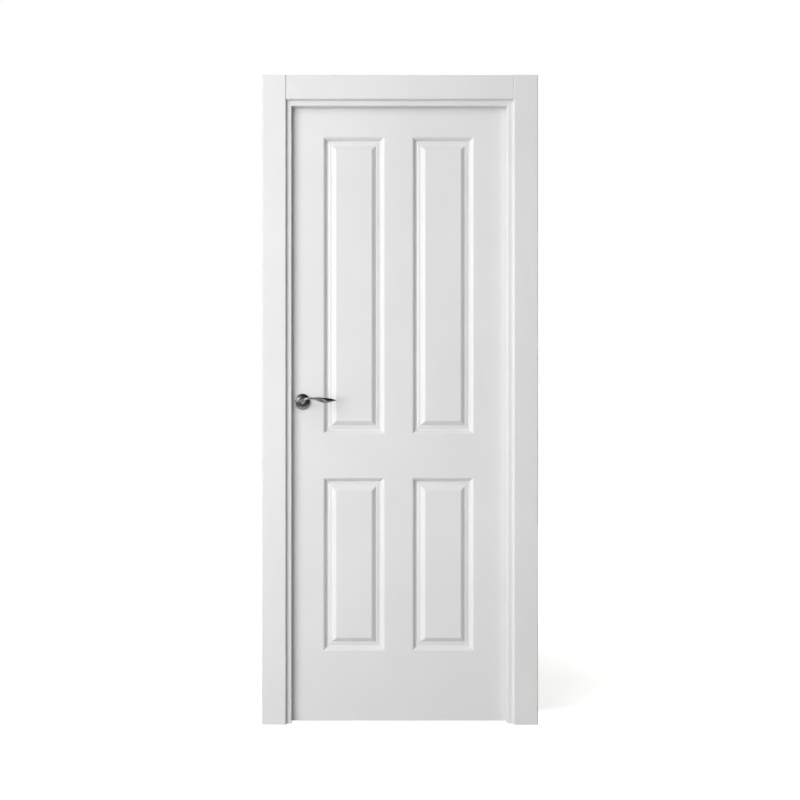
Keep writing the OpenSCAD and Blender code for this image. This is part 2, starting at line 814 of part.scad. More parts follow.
module lever() {
    rings = concat([for (i = [0 : bend_steps]) bend_ring(i / bend_steps)],
                   [for (i = [1 : blade_steps]) blade_ring(i / blade_steps)]);
    hole_w = spindle_w + 2 * screw_fit;
    color(metal) on_front() difference() {
        union() {
            translate([0, stem_start, 0]) outward()
                cylinder(r = stem_r, h = stem_end - stem_start, $fn = 48);
            polyhedron(points = [for (r = rings) each r],
                       faces = tube_faces(len(rings) - 1, lever_sides));
        }
        translate([-hole_w / 2, -past, -hole_w / 2]) cube([hole_w, spindle_out + 2 * past, hole_w]);
        grub_place() translate([0, 0, -past])
            cylinder(r = grub_r + screw_fit, h = stem_r + past, $fn = 32);
    }
}

// The grub screw enters the stem from below and bears on the spindle
module grub_place() {
    translate([0, grub_out, -stem_r]) children();
}

module grub_screw() {
    color(steel) on_front() grub_place() difference() {
        cylinder(r = grub_r, h = stem_r - spindle_w / 2, $fn = 32);
        translate([0, 0, -past]) cylinder(r = grub_key_r, h = grub_key_d + past, $fn = 6);
    }
}

module grub_screws() {
    grub_screw();
    rear_of_leaf() grub_screw();
}

module spindle() {
    color(steel) translate([hub_x, leaf_mid_y, handle_h])
        cube([spindle_w, leaf_t + 2 * spindle_out, spindle_w], center = true);
}

latch_jamb();
hinge_jamb();
head_jamb();
mirror_x() side_architrave(arch_setback);  // front_architrave_latch
side_architrave(arch_setback);  // front_architrave_hinge
head_architrave(arch_setback);  // front_architrave_head
rear_of_frame() mirror_x() side_architrave(rear_setback);  // rear_architrave_latch
rear_of_frame() side_architrave(rear_setback);  // rear_architrave_hinge
rear_of_frame() head_architrave(rear_setback);  // rear_architrave_head
mirror_x() side_seal();  // seal_latch
side_seal();  // seal_hinge
seal_head();
corner_screws();
strike_plate();
strike_screws();
frame_hinge(hinge_zs[0]);  // frame_hinge_low
frame_hinge(hinge_zs[1]);  // frame_hinge_mid
frame_hinge(hinge_zs[2]);  // frame_hinge_top
frame_hinge_screws();
hinge_pin(hinge_zs[0]);  // hinge_pin_low
hinge_pin(hinge_zs[1]);  // hinge_pin_mid
hinge_pin(hinge_zs[2]);  // hinge_pin_top
door_leaf();
leaf_hinge(hinge_zs[0]);  // leaf_hinge_low
leaf_hinge(hinge_zs[1]);  // leaf_hinge_mid
leaf_hinge(hinge_zs[2]);  // leaf_hinge_top
leaf_hinge_screws();
lock_case();
lock_cover();
faceplate();
faceplate_screws();
latch_spring();
rosette_base();  // rosette_base_front
rear_of_leaf() rosette_base();  // rosette_base_rear
rosette_cover();  // rosette_cover_front
rear_of_leaf() rosette_cover();  // rosette_cover_rear
rosette_screws();
lever();  // lever_front
rear_of_leaf() lever();  // lever_rear
spindle();
latch_hub();
grub_screws();
latch_bolt();
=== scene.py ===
import json
import math

import bmesh
import bpy
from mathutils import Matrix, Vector

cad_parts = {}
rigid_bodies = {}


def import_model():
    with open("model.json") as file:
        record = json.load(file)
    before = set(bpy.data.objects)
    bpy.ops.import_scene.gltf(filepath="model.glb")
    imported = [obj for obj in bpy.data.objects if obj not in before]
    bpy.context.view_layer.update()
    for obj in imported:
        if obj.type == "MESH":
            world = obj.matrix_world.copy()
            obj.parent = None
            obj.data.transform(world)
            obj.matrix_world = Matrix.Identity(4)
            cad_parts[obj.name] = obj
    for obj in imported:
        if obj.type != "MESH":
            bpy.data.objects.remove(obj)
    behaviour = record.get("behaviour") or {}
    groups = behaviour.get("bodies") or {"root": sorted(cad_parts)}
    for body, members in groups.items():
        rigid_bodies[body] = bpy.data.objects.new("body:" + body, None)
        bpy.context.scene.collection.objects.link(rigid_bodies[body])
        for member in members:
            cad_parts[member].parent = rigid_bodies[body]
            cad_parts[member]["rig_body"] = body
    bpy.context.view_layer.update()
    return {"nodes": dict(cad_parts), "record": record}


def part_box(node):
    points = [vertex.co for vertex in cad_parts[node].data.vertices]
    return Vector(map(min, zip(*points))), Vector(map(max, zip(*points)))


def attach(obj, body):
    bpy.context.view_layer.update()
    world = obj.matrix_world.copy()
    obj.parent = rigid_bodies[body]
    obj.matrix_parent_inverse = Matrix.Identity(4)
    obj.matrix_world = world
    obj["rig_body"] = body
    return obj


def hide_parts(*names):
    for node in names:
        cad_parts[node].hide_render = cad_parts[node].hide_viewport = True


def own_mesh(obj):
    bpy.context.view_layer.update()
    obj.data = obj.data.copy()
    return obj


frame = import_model()

MM = 0.001
WELD = 1e-6
SHARP = math.radians(16)
FLAT = math.radians(0.3)
NARROW = 2.5 * MM
NORMAL_WEIGHT = 80


# Camera: square on to the door and left of its middle, so that the right reveal just shows.
# The shift keeps the door in the middle of the picture.
VIEW_WIDTH = 2.611
VIEW_DISTANCE = 3.2
CAMERA_X = -0.42
CAMERA_Z = 1.0605
SENSOR = 36.0
front_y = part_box("front_architrave_latch")[0].y

camera = bpy.data.objects.new("camera", bpy.data.cameras.new("camera"))
bpy.context.scene.collection.objects.link(camera)
camera.location = (CAMERA_X, front_y - VIEW_DISTANCE, CAMERA_Z)
camera.rotation_euler = (math.pi / 2, 0, 0)
camera.data.sensor_width = SENSOR
camera.data.lens = SENSOR * VIEW_DISTANCE / VIEW_WIDTH
camera.data.shift_x = -CAMERA_X / VIEW_WIDTH
bpy.context.scene.camera = camera
bpy.context.scene.view_settings.view_transform = "Standard"


# Nodes and colours. Noise mostly stays between these two values.
NOISE_LOW = 0.3
NOISE_HIGH = 0.7


def linear(code):
    """An sRGB hex value as linear RGBA."""
    channels = [int(code[i:i + 2], 16) / 255 for i in (1, 3, 5)]
    return [c / 12.92 if c <= 0.04045 else ((c + 0.055) / 1.055) ** 2.4 for c in channels] + [1.0]


def add(tree, kind, inputs=None, **settings):
    """A node with its settings. Each input takes a value, or another node's output."""
    node = tree.nodes.new(kind)
    for name, value in settings.items():
        setattr(node, name, value)
    for socket, value in (inputs or {}).items():
        if isinstance(value, bpy.types.NodeSocket):
            tree.links.new(value, node.inputs[socket])
        else:
            node.inputs[socket].default_value = value
    return node


def new_material(name):
    material = bpy.data.materials.new(name)
    material.use_nodes = True
    material.node_tree.nodes.clear()
    return material, material.node_tree


def shade(tree, value, dark, light):
    """Runs from one colour to another as a noise value goes from low to high."""
    ramp = add(tree, "ShaderNodeValToRGB", {"Fac": value})
    ends = ((NOISE_LOW, dark), (NOISE_HIGH, light))
    for element, (position, code) in zip(ramp.color_ramp.elements, ends):
        element.position = position
        element.color = linear(code)
    return ramp.outputs["Color"]


def between(tree, value, low, high):
    """A number that runs from low to high with a noise value."""
    return add(tree, "ShaderNodeMapRange", {
        "Value": value, "From Min": NOISE_LOW, "From Max": NOISE_HIGH, "To Min": low, "To Max": high,
    }).outputs["Result"]


def noise(tree, place, size, detail=2.0):
    """Noise whose lumps are about size metres across."""
    return add(tree, "ShaderNodeTexNoise", {
        "Vector": place, "Scale": 1 / size, "Detail": detail,
    }).outputs["Fac"]


def shader_out(tree, inputs, height=None, depth=0.0):
    """The surface shader, with a bump of the given depth in metres."""
    if height is not None:
        bump = add(tree, "ShaderNodeBump", {"Height": height, "Strength": 1.0, "Distance": depth})
        inputs = dict(inputs, Normal=bump.outputs["Normal"])
    shader = add(tree, "ShaderNodeBsdfPrincipled", inputs)
    add(tree, "ShaderNodeOutputMaterial", {"Surface": shader.outputs["BSDF"]})


def satin_white_lacquer():
    # Lacquer sprayed over sanded primer: an even, neutral white with a soft sheen. Spraying leaves
    # very slight clouding and a faint orange peel, drawn at 5 mm so that it can show at all.
    material, tree = new_material("satin_white_lacquer")
    place = add(tree, "ShaderNodeTexCoord").outputs["Object"]
    shader_out(tree, {
        "Base Color": shade(tree, noise(tree, place, 260 * MM), "#DFDFDF", "#E3E3E3"),
        "Roughness": between(tree, noise(tree, place, 55 * MM), 0.36, 0.44),
        "IOR": 1.5,
    }, noise(tree, place, 5 * MM), 0.02 * MM)
    return material


def satin_chrome():
    # Die-cast zinc, polished and plated: it mirrors the room softly, a little dulled in streaks
    # where it was buffed along its length.
    material, tree = new_material("satin_chrome_plate")
    place = add(tree, "ShaderNodeTexCoord").outputs["Object"]
    buffed = add(tree, "ShaderNodeMapping", {"Vector": place, "Scale": (0.12, 1.0, 1.0)})
    streaks = noise(tree, buffed.outputs["Vector"], 1.2 * MM, 3.0)
    shader_out(tree, {
        "Base Color": shade(tree, noise(tree, place, 14 * MM), "#9C9A97", "#A7A5A2"),
        "Metallic": 1.0,
        "Roughness": between(tree, streaks, 0.12, 0.21),
    }, streaks, 0.004 * MM)
    return material


def brushed_stainless():
    # Stainless strip brushed along its length: fine upright lines, drawn at 0.8 mm so that they
    # show, and a grey that is duller than plating.
    material, tree = new_material("brushed_stainless_steel")
    place = add(tree, "ShaderNodeTexCoord").outputs["Object"]
    along = add(tree, "ShaderNodeMapping", {"Vector": place, "Scale": (1.0, 1.0, 0.03)})
    lines = noise(tree, along.outputs["Vector"], 0.8 * MM, 4.0)
    shader_out(tree, {
        "Base Color": shade(tree, lines, "#A9A8A5", "#BDBCB8"),
        "Metallic": 1.0,
        "Roughness": between(tree, lines, 0.28, 0.40),
    }, lines, 0.006 * MM)
    return material


def zinc_plated_steel():
    # Pressed steel with bright zinc: a cool grey with small crystal patches that differ in gloss.
    material, tree = new_material("zinc_plated_steel")
    place = add(tree, "ShaderNodeTexCoord").outputs["Object"]
    crystals = add(tree, "ShaderNodeTexVoronoi", {"Vector": place, "Scale": 1 / (3 * MM)})
    patches = crystals.outputs["Distance"]
    shader_out(tree, {
        "Base Color": shade(tree, patches, "#A3A7AA", "#B6BABC"),
        "Metallic": 1.0,
        "Roughness": between(tree, patches, 0.32, 0.46),
    }, noise(tree, place, 0.6 * MM), 0.004 * MM)
    return material


def cast_zinc():
    # Raw die-cast zinc under the rosettes: a dull, grainy grey.
    material, tree = new_material("die_cast_zinc")
    place = add(tree, "ShaderNodeTexCoord").outputs["Object"]
    grain = noise(tree, place, 0.7 * MM, 4.0)
    shader_out(tree, {
        "Base Color": shade(tree, grain, "#8E9094", "#A2A4A8"),
        "Metallic": 1.0,
        "Roughness": between(tree, grain, 0.48, 0.6),
    }, grain, 0.03 * MM)
    return material


def extruded_seal_rubber():
    # White thermoplastic rubber, extruded: matt, with faint draw lines along its length.
    material, tree = new_material("extruded_seal_rubber")
    place = add(tree, "ShaderNodeTexCoord").outputs["Object"]
    drawn = noise(tree, place, 1.5 * MM, 3.0)
    shader_out(tree, {
        "Base Color": shade(tree, drawn, "#DCDCD9", "#E2E2DF"),
        "Roughness": between(tree, drawn, 0.62, 0.74),
        "IOR": 1.48,
    }, drawn, 0.02 * MM)
    return material


FINISHES = {
    "lacquered_wood": satin_white_lacquer(),
    "handle_metal": satin_chrome(),
    "hinge_steel": brushed_stainless(),
    "lock_steel": zinc_plated_steel(),
    "rosette_base": cast_zinc(),
    "seal_rubber": extruded_seal_rubber(),
}


SLOTS = {row["node"]: row["material_slot"] for row in frame["record"]["subparts"]}


# Pieces
def new_piece(mesh, node):
    """A finished piece that stands for a CAD node and rides on that node's body."""
    piece = bpy.data.objects.new(node + "_finished", mesh)
    bpy.context.scene.collection.objects.link(piece)
    mesh.materials.clear()
    mesh.materials.append(FINISHES[SLOTS[node]])
    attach(piece, frame["nodes"][node]["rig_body"])
    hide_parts(node)
    return piece


def applied(mesh, modifiers):
    """A plain mesh with these modifiers, each a kind and its settings, worked into it."""
    carrier = bpy.data.objects.new("carrier", mesh)
    bpy.context.scene.collection.objects.link(carrier)
    for kind, settings in modifiers:
        modifier = carrier.modifiers.new(kind.lower(), kind)
        for name, value in settings.items():
            setattr(modifier, name, value)
    graph = bpy.context.evaluated_depsgraph_get()
    result = bpy.data.meshes.new_from_object(carrier.evaluated_get(graph))
    bpy.data.objects.remove(carrier)
    return result


def to_mesh(bm, name):
    """The shape as a mesh, without the CAD mesh's own normals, which don't fit a changed shape."""
    mesh = bpy.data.meshes.new(name)
    bm.to_mesh(mesh)
    bm.free()
    if "custom_normal" in mesh.attributes:
        mesh.attributes.remove(mesh.attributes["custom_normal"])
    return mesh


def smoothed(bm, name, sharp=SHARP):
    """A curved shape as a mesh that shades smoothly, except over its sharp edges."""
    mesh = to_mesh(bm, name)
    mesh.set_sharp_from_angle(angle=sharp)
    mesh.polygons.foreach_set("use_smooth", [True] * len(mesh.polygons))
    return applied(mesh, [("WEIGHTED_NORMAL", {"keep_sharp": True, "weight": NORMAL_WEIGHT})])


def flat_sided(bm, name):
    """A shape as a mesh that shades smoothly over its narrow roundings and flat on its faces."""
    narrow = [f.calc_area() / max(e.calc_length() for e in f.edges) < NARROW for f in bm.faces]
    mesh = to_mesh(bm, name)
    mesh.set_sharp_from_angle(angle=2 * SHARP)
    mesh.polygons.foreach_set("use_smooth", narrow)
    return mesh


def softened(node, radius, shortest, segments=2):
    """A welded copy of a CAD node, with every edge longer than shortest eased to a radius."""
    bm = bmesh.new()
    bm.from_mesh(frame["nodes"][node].data)
    bmesh.ops.remove_doubles(bm, verts=bm.verts, dist=WELD)
    bmesh.ops.dissolve_limit(bm, angle_limit=FLAT, verts=bm.verts, edges=bm.edges)
    arrises = [e for e in bm.edges
               if e.is_manifold and e.calc_length() > shortest and e.calc_face_angle() > SHARP / 2]
    bmesh.ops.bevel(bm, geom=arrises, offset=radius, offset_type="OFFSET", segments=segments,
                    profile=0.5, affect="EDGES", clamp_overlap=True)
    bmesh.ops.dissolve_degenerate(bm, dist=WELD, edges=bm.edges)
    return new_piece(flat_sided(bm, node), node)


# Edges are eased by these radii. Edges shorter than LONG_EDGE or SHORT_EDGE stay as they are.
FRAME_EASE = 0.6 * MM
LEAF_EASE = 0.5 * MM
STEEL_EASE = 0.3 * MM
SEAL_EASE = 0.2 * MM
LONG_EDGE = 20 * MM
SHORT_EDGE = 3 * MM

WOOD_NODES = ["latch_jamb", "hinge_jamb", "head_jamb"]
WOOD_NODES += [f"{side}_architrave_{place}" for side in ("front", "rear")
               for place in ("latch", "hinge", "head")]
for node in WOOD_NODES:
    softened(node, FRAME_EASE, LONG_EDGE)
softened("door_leaf", LEAF_EASE, LONG_EDGE, 3)

HINGE_NODES = [f"{half}_{place}" for half in ("frame_hinge", "leaf_hinge", "hinge_pin")
               for place in ("low", "mid", "top")]
for node in HINGE_NODES + ["strike_plate", "faceplate", "latch_bolt"]:
    softened(node, STEEL_EASE, SHORT_EDGE)
for place in ("latch", "hinge", "head"):
    softened("seal_" + place, SEAL_EASE, LONG_EDGE)


def latch_spring():
    """A smooth copy of the CAD coil, on a mesh of its own. The real coil is squeezed towards its guide
    as the latch slides back; the copy keeps its shape.
    """
    node, joint = "latch_spring", "latch_slide"
    bm = bmesh.new()
    bm.from_mesh(frame["nodes"][node].data)
    bmesh.ops.remove_doubles(bm, verts=bm.verts, dist=WELD)
    piece = new_piece(smoothed(bm, node, 4 * SHARP), node)
    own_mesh(piece)


latch_spring()


# Handles: sizes in millimetres, counted out from the leaf's face at the spindle
spindle_low, spindle_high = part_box("spindle")
leaf_low, leaf_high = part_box("door_leaf")
SPINDLE_X = (spindle_low.x + spindle_high.x) / 2
SPINDLE_Z = (spindle_low.z + spindle_high.z) / 2
STEM_R = 8.0
STEM_RINGS = (0.5, 11.0, 21.0, 31.0)
BEND_R = 18.0
BLADE_OUT = 49.5
BLADE_HALF_W = 8.5
BLADE_HALF_T = 3.2
LEVER_LEN = 111.0
NECK_RISE = 10.0
TWIST_END = 0.72
TAPER_START = 0.58
TAPER_POWER = 1.6
TIP_SIZE = 0.06
TIP_THINNER = 0.85
RISE = [(0, 1.0), (0.07, 1.1), (0.14, 1.03), (0.36, 0.75), (0.6, 0.42), (0.8, 0.46), (1, 0.46)]
ROUND = 2.0
SLAB = 2.5
LEVER_SIDES = 56
BEND_RINGS = 24
BLADE_RINGS = 90


def on_leaf(side, x, out, z):
    """A point counted from the spindle, out from the front face (-1) or the rear face (1)."""
    face = leaf_low.y if side < 0 else leaf_high.y
    return Vector((SPINDLE_X + x * MM, face + side * out * MM, SPINDLE_Z + z * MM))


def mix(a, b, t):
    """The value at t on the way from a to b."""
    return a + (b - a) * t


def ease(t):
    """A smooth start and a smooth stop between 0 and 1."""
    s = max(0.0, min(1.0, t))
    return s * s * (3 - 2 * s)


def rise_at(s):
    """Height of the blade's middle line, on a smooth curve through the points of RISE."""
    last = len(RISE) - 1
    i = max(k for k in range(last) if RISE[k][0] <= s)
    slopes = []
    for k in (i, i + 1):
        before, after = RISE[max(k - 1, 0)], RISE[min(k + 1, last)]
        slopes.append((after[1] - before[1]) / (after[0] - before[0]))
    span = RISE[i + 1][0] - RISE[i][0]
    t = (s - RISE[i][0]) / span
    return (mix(RISE[i][1], RISE[i + 1][1], ease(t))
            + span * t * (1 - t) * ((1 - t) * slopes[0] - t * slopes[1]))


def lever_ring(middle, half_w, half_t, bend, twist, square):
    """Points of one section of the lever, an ellipse at ROUND and flatter sided at SLAB."""
    points = []
    for k in range(LEVER_SIDES):
        a = 2 * math.pi * k / LEVER_SIDES
        c = math.copysign(abs(math.cos(a)) ** (2 / square), math.cos(a)) * half_w
        s = math.copysign(abs(math.sin(a)) ** (2 / square), math.sin(a)) * half_t
        u = c * math.cos(twist) - s * math.sin(twist)
        v = c * math.sin(twist) + s * math.cos(twist)
        points.append((middle[0] - u * math.cos(bend), middle[1] + u * math.sin(bend), middle[2] + v))
    return points


def lever_rings():
    """Sections of the stem, of the bend and of the blade, which turns upright along its length."""
    rings = [lever_ring((0, out, 0), STEM_R, STEM_R, 0, 0, ROUND) for out in STEM_RINGS]
    for i in range(1, BEND_RINGS + 1):
        s = i / BEND_RINGS
        bend = s * math.pi / 2
        middle = (BEND_R * (1 - math.cos(bend)), BLADE_OUT - BEND_R * (1 - math.sin(bend)),
                  NECK_RISE * ease(s))
        rings.append(lever_ring(middle, mix(STEM_R, BLADE_HALF_W, s),
                                mix(STEM_R, BLADE_HALF_T, ease(s)), bend, 0, mix(ROUND, SLAB, s)))
    for i in range(1, BLADE_RINGS + 1):
        s = i / BLADE_RINGS
        narrow = max(0.0, (s - TAPER_START) / (1 - TAPER_START))
        size = max(TIP_SIZE, 1 - narrow ** TAPER_POWER)
        thinner = mix(1, TIP_THINNER, s)
        middle = (mix(BEND_R, LEVER_LEN, s), BLADE_OUT, NECK_RISE * rise_at(s))
        rings.append(lever_ring(middle, BLADE_HALF_W * size, BLADE_HALF_T * size * thinner,
                                math.pi / 2, math.pi / 2 * ease(s / TWIST_END), SLAB))
    return rings


def skinned(rings, closed_ends):
    """A skin over rings of points, each ring joined to the next."""
    bm = bmesh.new()
    rows = [[bm.verts.new(p) for p in ring] for ring in rings]
    count = len(rows[0])
    pairs = list(zip(rows, rows[1:]))
    if not closed_ends:
        pairs.append((rows[-1], rows[0]))
    for a, b in pairs:
        for k in range(count):
            n = (k + 1) % count
            bm.faces.new((a[k], a[n], b[n], b[k]))
    if closed_ends:
        bm.faces.new(rows[0])
        bm.faces.new(rows[-1])
    bmesh.ops.recalc_face_normals(bm, faces=bm.faces)
    return bm


def cutter(side, middle, half, sides):
    """A bar with the given number of sides, to cut with: along X a half of half[0], and so on."""
    x, out, z = middle
    if sides == 4:
        rings = [[on_leaf(side, x + i * half[0], out + j * half[1], z + k * half[2])
                  for i, k in ((-1, -1), (1, -1), (1, 1), (-1, 1))] for j in (-1, 1)]
    else:
        turns = [2 * math.pi * k / sides for k in range(sides)]
        rings = [[on_leaf(side, x + half[0] * math.cos(a), out + half[1] * math.sin(a), z + k * half[2])
                  for a in turns] for k in (-1, 1)]
    bar = bpy.data.objects.new("cutter", to_mesh(skinned(rings, True), "cutter"))
    bpy.context.scene.collection.objects.link(bar)
    return bar


SPINDLE_HOLE_W = 8.2
SPINDLE_HOLE_D = 32.5
GRUB_OUT = 15.0
GRUB_R = 2.6
GRUB_SIDES = 32


def lever(side, node):
    """The twisted lever, with the square hole for the spindle and the hole for its grub screw."""
    mesh = to_mesh(skinned([[on_leaf(side, *p) for p in ring] for ring in lever_rings()], True), node)
    half = SPINDLE_HOLE_W / 2
    square = cutter(side, (0, 0, 0), (half, SPINDLE_HOLE_D, half), 4)
    round_hole = cutter(side, (0, GRUB_OUT, -STEM_R), (GRUB_R, GRUB_R, STEM_R), GRUB_SIDES)
    cut = applied(mesh, [("BOOLEAN", {"operation": "DIFFERENCE", "solver": "EXACT", "object": bar})
                         for bar in (square, round_hole)])
    for bar in (square, round_hole):
        bpy.data.objects.remove(bar)
    bm = bmesh.new()
    bm.from_mesh(cut)
    return new_piece(smoothed(bm, node), node)


rosette_low, rosette_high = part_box("rosette_cover_front")
ROSETTE_R = (rosette_high.x - rosette_low.x) / 2 / MM
ROSETTE_H = 9.0
ROSETTE_ROUND = 3.0
ROSETTE_WALL = 1.5
ROSETTE_HOLE_R = 8.3
ROSETTE_FALL = 0.12
ROSETTE_SIDES = 128
RIM_STEPS = 12
DOME_STEPS = 10
HOLE_STEPS = 4
HOLE_EASE = 0.5


def rosette_cover(side, node):
    """The spun cover: a shallow cup, slightly domed, with a round rim and an eased stem hole."""
    inside = ROSETTE_H - ROSETTE_WALL
    profile = [(ROSETTE_HOLE_R, inside), (ROSETTE_R - ROSETTE_WALL, inside),
               (ROSETTE_R - ROSETTE_WALL, 0), (ROSETTE_R, 0)]
    rim_turn = math.pi / 2 - math.atan(ROSETTE_FALL)
    rim_r = ROSETTE_R - ROSETTE_ROUND * (1 - math.cos(rim_turn))
    eye_r = ROSETTE_HOLE_R + HOLE_EASE
    dome = ROSETTE_FALL * (rim_r - eye_r) / 2
    rim_middle = ROSETTE_H - dome - ROSETTE_ROUND * math.sin(rim_turn)
    for i in range(RIM_STEPS + 1):
        a = rim_turn * i / RIM_STEPS
        profile.append((ROSETTE_R - ROSETTE_ROUND * (1 - math.cos(a)),
                        rim_middle + ROSETTE_ROUND * math.sin(a)))
    for i in range(1, DOME_STEPS):
        share = 1 - i / DOME_STEPS
        profile.append((mix(eye_r, rim_r, share), ROSETTE_H - dome * share ** 2))
    for i in range(HOLE_STEPS + 1):
        a = math.pi / 2 * i / HOLE_STEPS
        profile.append((ROSETTE_HOLE_R + HOLE_EASE * (1 - math.sin(a)),
                        ROSETTE_H - HOLE_EASE * (1 - math.cos(a))))
    turns = [2 * math.pi * k / ROSETTE_SIDES for k in range(ROSETTE_SIDES)]
    rings = [[on_leaf(side, r * math.cos(a), out, r * math.sin(a)) for a in turns]
             for r, out in profile]
    return new_piece(smoothed(skinned(rings, False), node), node)


for side, place in ((-1, "front"), (1, "rear")):
    lever(side, "lever_" + place)
    rosette_cover(side, "rosette_cover_" + place)


# Countersunk screws: one tree makes the screw from its sizes and sets one at each point. The shank
# and the tip are a little slimmer than their neighbour and lap it, so that they join cleanly.
SCREW_SIDES = 32
SHANK_FIT = 0.995
TIP_FIT = 0.985
TIP_LAP = 0.5 * MM
POINT_SHARE = 0.15
SLOT_LENGTH = 1.15
SLOT_WIDTH = 0.24
SLOT_DEPTH = 1.3


def screw_tree():
    """The screws' tree. Slots are parts of the head's radius and height."""
    tree = bpy.data.node_groups.new("countersunk_screws", "GeometryNodeTree")
    face = tree.interface
    face.new_socket("Geometry", in_out="INPUT", socket_type="NodeSocketGeometry")
    for name in ("Head Radius", "Head Height", "Shank Radius", "Length", "Tip Length"):
        face.new_socket(name, in_out="INPUT", socket_type="NodeSocketFloat")
    face.new_socket("Material", in_out="INPUT", socket_type="NodeSocketMaterial")
    face.new_socket("Geometry", in_out="OUTPUT", socket_type="NodeSocketGeometry")
    given = add(tree, "NodeGroupInput").outputs

    def maths(kind, a, b):
        return add(tree, "ShaderNodeMath", {0: a, 1: b}, operation=kind).outputs[0]

    def bar(size):
        return add(tree, "GeometryNodeMeshCube", {"Size": size}).outputs["Mesh"]

    def size_of(x, y, z):
        return add(tree, "ShaderNodeCombineXYZ", {0: x, 1: y, 2: z}).outputs[0]

    def lifted(mesh, height):
        place = size_of(0.0, 0.0, height)
        return add(tree, "GeometryNodeTransform", {"Geometry": mesh, "Translation": place}).outputs[0]

    def cone(bottom, top, depth):
        return add(tree, "GeometryNodeMeshCone", {
            "Vertices": SCREW_SIDES, "Radius Bottom": bottom, "Radius Top": top, "Depth": depth,
        }).outputs["Mesh"]

    shank_len = maths("SUBTRACT", given["Length"], given["Tip Length"])
    point_r = maths("MULTIPLY", given["Shank Radius"], POINT_SHARE)
    head = cone(given["Head Radius"], given["Shank Radius"], given["Head Height"])
    shank_low = maths("MULTIPLY", given["Head Height"], 0.5)
    shank_r = maths("MULTIPLY", given["Shank Radius"], SHANK_FIT)
    shank = lifted(cone(shank_r, shank_r, maths("SUBTRACT", shank_len, shank_low)), shank_low)
    tip_low = maths("SUBTRACT", shank_len, TIP_LAP)
    tip_r = maths("MULTIPLY", given["Shank Radius"], TIP_FIT)
    tip = lifted(cone(tip_r, point_r, maths("ADD", given["Tip Length"], TIP_LAP)), tip_low)
    body = add(tree, "GeometryNodeMeshBoolean", operation="UNION", solver="EXACT")
    for part in (head, shank, tip):
        tree.links.new(part, body.inputs["Mesh 2"])
    slot_len = maths("MULTIPLY", given["Head Radius"], SLOT_LENGTH)
    slot_w = maths("MULTIPLY", given["Head Radius"], SLOT_WIDTH)
    slot_d = maths("MULTIPLY", given["Head Height"], SLOT_DEPTH)
    cross = add(tree, "GeometryNodeMeshBoolean", {"Mesh 1": body.outputs["Mesh"]},
                operation="DIFFERENCE", solver="EXACT")
    for x, y in ((slot_len, slot_w), (slot_w, slot_len)):
        tree.links.new(bar(size_of(x, y, slot_d)), cross.inputs["Mesh 2"])
    axis = add(tree, "GeometryNodeInputNamedAttribute", {"Name": "axis"}, data_type="FLOAT_VECTOR")
    aim = add(tree, "FunctionNodeAlignRotationToVector", {"Vector": axis.outputs["Attribute"]}, axis="Z")
    turn = add(tree, "FunctionNodeRandomValue", {"Min": 0.0, "Max": 1.57, "Seed": 7}, data_type="FLOAT")
    spin = [s for s in turn.outputs if s.enabled][0]
    about = add(tree, "FunctionNodeAxisAngleToRotation", {"Axis": (0.0, 0.0, 1.0), "Angle": spin})
    facing = add(tree, "FunctionNodeRotateRotation", {
        "Rotation": aim.outputs["Rotation"], "Rotate By": about.outputs["Rotation"],
    }, rotation_space="LOCAL")
    points = add(tree, "GeometryNodeMeshToPoints", {"Mesh": given["Geometry"]})
    placed = add(tree, "GeometryNodeInstanceOnPoints", {
        "Points": points.outputs["Points"], "Instance": cross.outputs["Mesh"],
        "Rotation": facing.outputs["Rotation"],
    })
    real = add(tree, "GeometryNodeRealizeInstances", {"Geometry": placed.outputs["Instances"]})
    done = add(tree, "GeometryNodeSetMaterial", {
        "Geometry": real.outputs["Geometry"], "Material": given["Material"],
    })
    add(tree, "NodeGroupOutput", {"Geometry": done.outputs["Geometry"]})
    return tree


def islands(node):
    """Lowest and highest corner of each separate solid in a CAD node."""
    bm = bmesh.new()
    bm.from_mesh(frame["nodes"][node].data)
    bmesh.ops.remove_doubles(bm, verts=bm.verts, dist=WELD)
    boxes = []
    left = set(bm.verts)
    while left:
        found, edge = set(), [left.pop()]
        while edge:
            vert = edge.pop()
            found.add(vert)
            near = {e.other_vert(vert) for e in vert.link_edges} & left
            left -= near
            edge.extend(near)
        boxes.append((Vector([min(v.co[i] for v in found) for i in range(3)]),
                      Vector([max(v.co[i] for v in found) for i in range(3)])))
    bm.free()
    return sorted(boxes, key=lambda box: tuple(box[0]))


SCREWS = screw_tree()
WOOD_SCREW = (4.0, 2.2, 2.0)
LONG_SCREW = (4.5, 2.5, 2.25)
SCREW_TIP = 3.0


